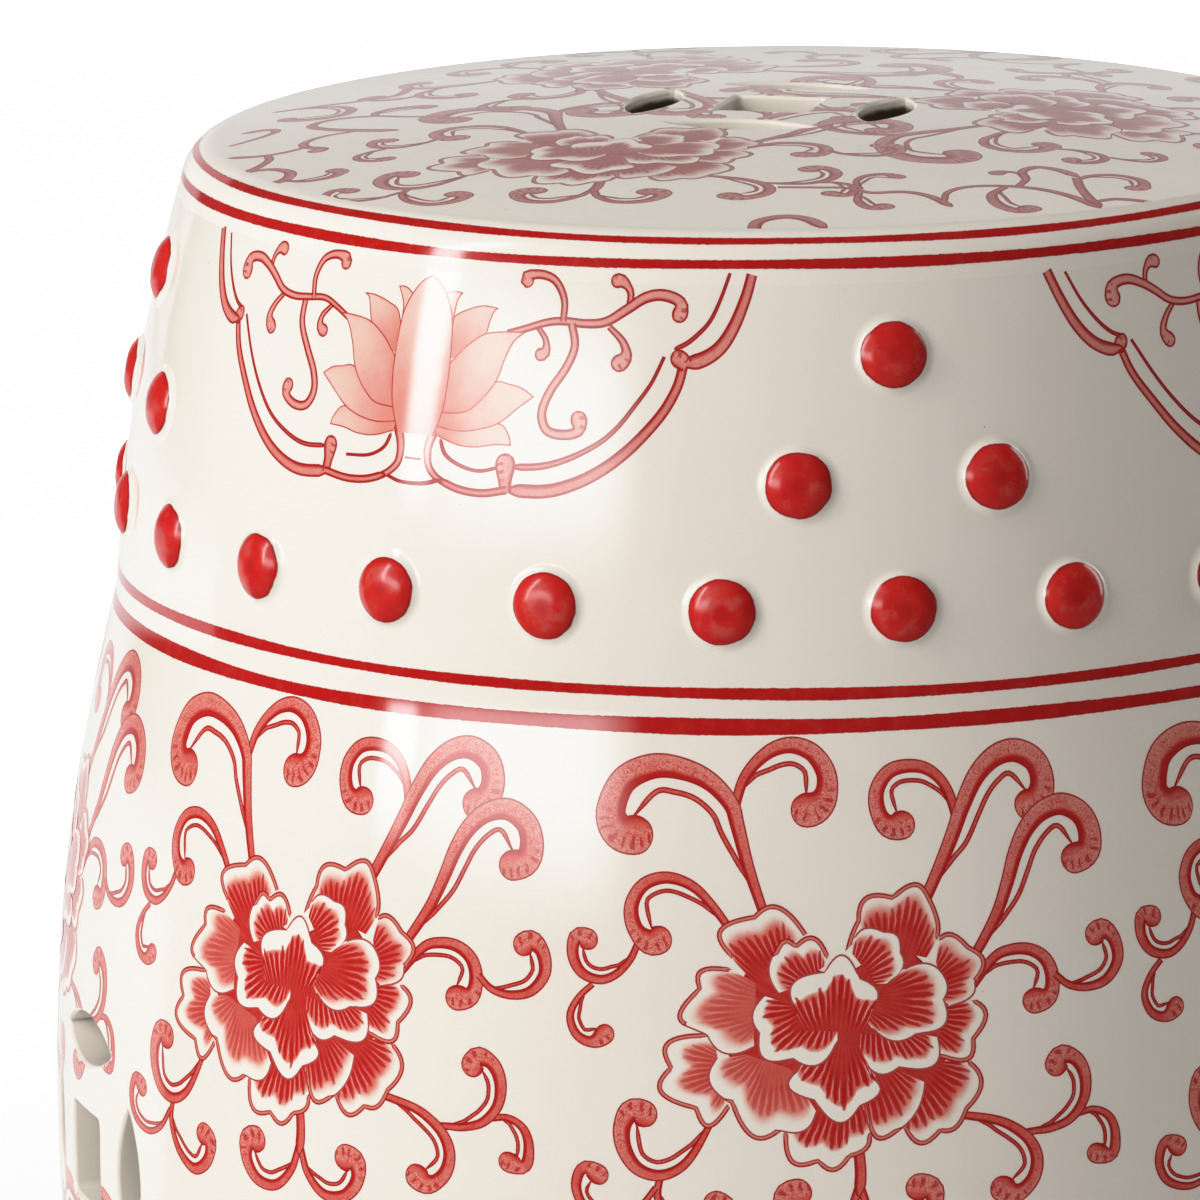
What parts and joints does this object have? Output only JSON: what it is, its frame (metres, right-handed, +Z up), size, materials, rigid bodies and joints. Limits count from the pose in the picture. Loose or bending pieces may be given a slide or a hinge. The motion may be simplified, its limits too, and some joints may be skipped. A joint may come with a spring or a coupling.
{
  "type": "garden stool",
  "caption": "Barrel-shaped glazed porcelain garden stool with a domed pierced seat, coin-pierced side handles, drum-nail bosses and red painted flowers.",
  "frame": {"origin": "centre of the foot ring on the floor", "axes": "+Z up along the barrel's axis, the two pierced handles look along -X and +X"},
  "size_m": [0.3297, 0.33, 0.457],
  "materials": {
    "cream_glaze": "warm cream porcelain under a clear glossy glaze, painted in red",
    "red_boss_glaze": "brushed red under a clear glossy glaze",
    "bare_biscuit": "unglazed fired clay, dry and matte"
  },
  "bodies": {
    "root": {"barrel_wall": "cream_glaze", "seat_top": "cream_glaze", "foot_ring": "bare_biscuit", "upper_boss_row": "red_boss_glaze", "upper_boss_pairs": "red_boss_glaze", "upper_boss_peaks": "red_boss_glaze", "lower_boss_row": "red_boss_glaze", "lower_boss_pairs": "red_boss_glaze", "lower_boss_peaks": "red_boss_glaze"}
  },
  "joints": []
}
